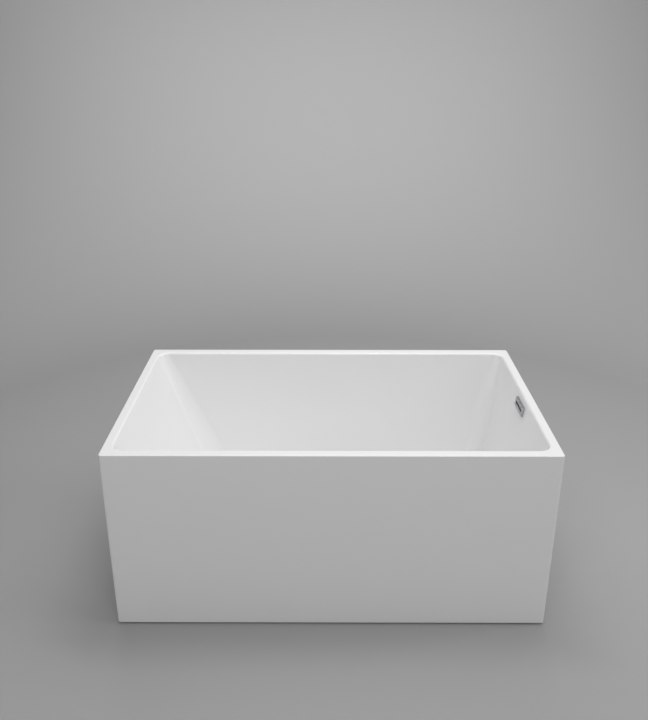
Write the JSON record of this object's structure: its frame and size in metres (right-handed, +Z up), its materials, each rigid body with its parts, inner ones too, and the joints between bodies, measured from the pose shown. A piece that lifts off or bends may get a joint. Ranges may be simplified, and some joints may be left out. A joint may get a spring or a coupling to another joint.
{
  "type": "freestanding bathtub",
  "caption": "Rectangular freestanding bathtub: acrylic basin in a straight skirt, on a steel frame with screw feet, with slotted overflow, hose and pop-up waste.",
  "frame": {"origin": "on the floor, under the middle of the tub's outline", "axes": "+X towards the end with the overflow and the waste, +Y towards the back, +Z up"},
  "size_m": [1.3, 0.795, 0.585],
  "materials": {
    "sanitary_acrylic": "gloss, thermoformed white acrylic",
    "glass_fibre_laminate": "rough sprayed chopped strand",
    "white_sealant": "satin",
    "birch_plywood": "matt, unsealed",
    "galvanised_steel": "spangled zinc",
    "zinc_plated_steel": "bright zinc plate",
    "chromed_brass": "polished chrome",
    "bare_brass": "machined",
    "spring_steel": "drawn stainless",
    "black_polyethylene": "moulded, satin",
    "white_polypropylene": "moulded, satin",
    "grey_hose_plastic": "corrugated, satin",
    "black_rubber": "matt"
  },
  "bodies": {
    "tub": {"back_rail": "galvanised_steel", "base_board": "birch_plywood", "basin": "sanitary_acrylic", "board_screws": "zinc_plated_steel", "bracket_bolts": "zinc_plated_steel", "cartridge_spring": "spring_steel", "click_cartridge": "bare_brass", "crossbar_end_plates": "galvanised_steel", "crossbar_left": "galvanised_steel", "crossbar_middle": "galvanised_steel", "crossbar_right": "galvanised_steel", "front_rail": "galvanised_steel", "hose_clamps": "zinc_plated_steel", "laminate": "glass_fibre_laminate", "lock_nuts": "zinc_plated_steel", "overflow_back_gasket": "black_rubber", "overflow_clip_frame": "black_polyethylene", "overflow_cover": "chromed_brass", "overflow_front_gasket": "black_rubber", "overflow_hose": "grey_hose_plastic", "overflow_housing": "white_polypropylene", "overflow_screws": "zinc_plated_steel", "rail_end_caps": "black_polyethylene", "rim_bond": "white_sealant", "skirt": "sanitary_acrylic", "skirt_brackets_left": "galvanised_steel", "skirt_brackets_middle": "galvanised_steel", "skirt_brackets_right": "galvanised_steel", "skirt_screw_nuts": "zinc_plated_steel", "skirt_screws": "zinc_plated_steel", "strainer_gasket": "black_rubber", "tailpiece": "white_polypropylene", "tailpiece_nut": "white_polypropylene", "tailpiece_washer": "black_rubber", "waste_back_nut": "white_polypropylene", "waste_slip_washer": "white_polypropylene", "waste_strainer": "chromed_brass", "waste_tee": "white_polypropylene", "waste_washer": "black_rubber", "weld_nuts": "zinc_plated_steel"},
    "stopper": {"stopper_cap": "chromed_brass", "stopper_plunger": "spring_steel", "stopper_seal": "black_rubber"},
    "foot_front_left": {"foot_pad_front_left": "black_polyethylene", "foot_sole_front_left": "black_rubber"},
    "stud_front_left": {"foot_stud_front_left": "zinc_plated_steel"},
    "foot_back_left": {"foot_pad_back_left": "black_polyethylene", "foot_sole_back_left": "black_rubber"},
    "stud_back_left": {"foot_stud_back_left": "zinc_plated_steel"},
    "foot_middle": {"foot_pad_middle": "black_polyethylene", "foot_sole_middle": "black_rubber"},
    "stud_middle": {"foot_stud_middle": "zinc_plated_steel"},
    "foot_front_right": {"foot_pad_front_right": "black_polyethylene", "foot_sole_front_right": "black_rubber"},
    "stud_front_right": {"foot_stud_front_right": "zinc_plated_steel"},
    "foot_back_right": {"foot_pad_back_right": "black_polyethylene", "foot_sole_back_right": "black_rubber"},
    "stud_back_right": {"foot_stud_back_right": "zinc_plated_steel"}
  },
  "joints": [
    {"name": "stopper_lift", "type": "slide", "parent": "tub", "child": "stopper", "axis": [0, 0, 1], "range_m": [0, 0.009], "deforming": ["cartridge_spring"]},
    {"name": "front_left_foot_height", "type": "slide", "parent": "tub", "child": "foot_front_left", "axis": [0, 0, 1], "range_m": [-0.015, 0.005]},
    {"name": "front_left_stud_turn", "type": "hinge", "parent": "foot_front_left", "child": "stud_front_left", "pos_m": [-0.47, -0.29, 0.012], "axis": [0, 0, 1], "range_deg": [-3090, 1033]},
    {"name": "back_left_foot_height", "type": "slide", "parent": "tub", "child": "foot_back_left", "axis": [0, 0, 1], "range_m": [-0.015, 0.005]},
    {"name": "back_left_stud_turn", "type": "hinge", "parent": "foot_back_left", "child": "stud_back_left", "pos_m": [-0.47, 0.29, 0.012], "axis": [0, 0, 1], "range_deg": [-3090, 1033]},
    {"name": "middle_foot_height", "type": "slide", "parent": "tub", "child": "foot_middle", "axis": [0, 0, 1], "range_m": [-0.015, 0.005]},
    {"name": "middle_stud_turn", "type": "hinge", "parent": "foot_middle", "child": "stud_middle", "pos_m": [0.02, 0, 0.012], "axis": [0, 0, 1], "range_deg": [-3090, 1033]},
    {"name": "front_right_foot_height", "type": "slide", "parent": "tub", "child": "foot_front_right", "axis": [0, 0, 1], "range_m": [-0.015, 0.005]},
    {"name": "front_right_stud_turn", "type": "hinge", "parent": "foot_front_right", "child": "stud_front_right", "pos_m": [0.52, -0.29, 0.012], "axis": [0, 0, 1], "range_deg": [-3090, 1033]},
    {"name": "back_right_foot_height", "type": "slide", "parent": "tub", "child": "foot_back_right", "axis": [0, 0, 1], "range_m": [-0.015, 0.005]},
    {"name": "back_right_stud_turn", "type": "hinge", "parent": "foot_back_right", "child": "stud_back_right", "pos_m": [0.52, 0.29, 0.012], "axis": [0, 0, 1], "range_deg": [-3090, 1033]}
  ],
  "couplings": [
    {"joint": "front_left_stud_turn", "follows": "front_left_foot_height", "rad_per_m": 3590.4},
    {"joint": "back_left_stud_turn", "follows": "back_left_foot_height", "rad_per_m": 3590.4},
    {"joint": "middle_stud_turn", "follows": "middle_foot_height", "rad_per_m": 3590.4},
    {"joint": "front_right_stud_turn", "follows": "front_right_foot_height", "rad_per_m": 3590.4},
    {"joint": "back_right_stud_turn", "follows": "back_right_foot_height", "rad_per_m": 3590.4}
  ]
}
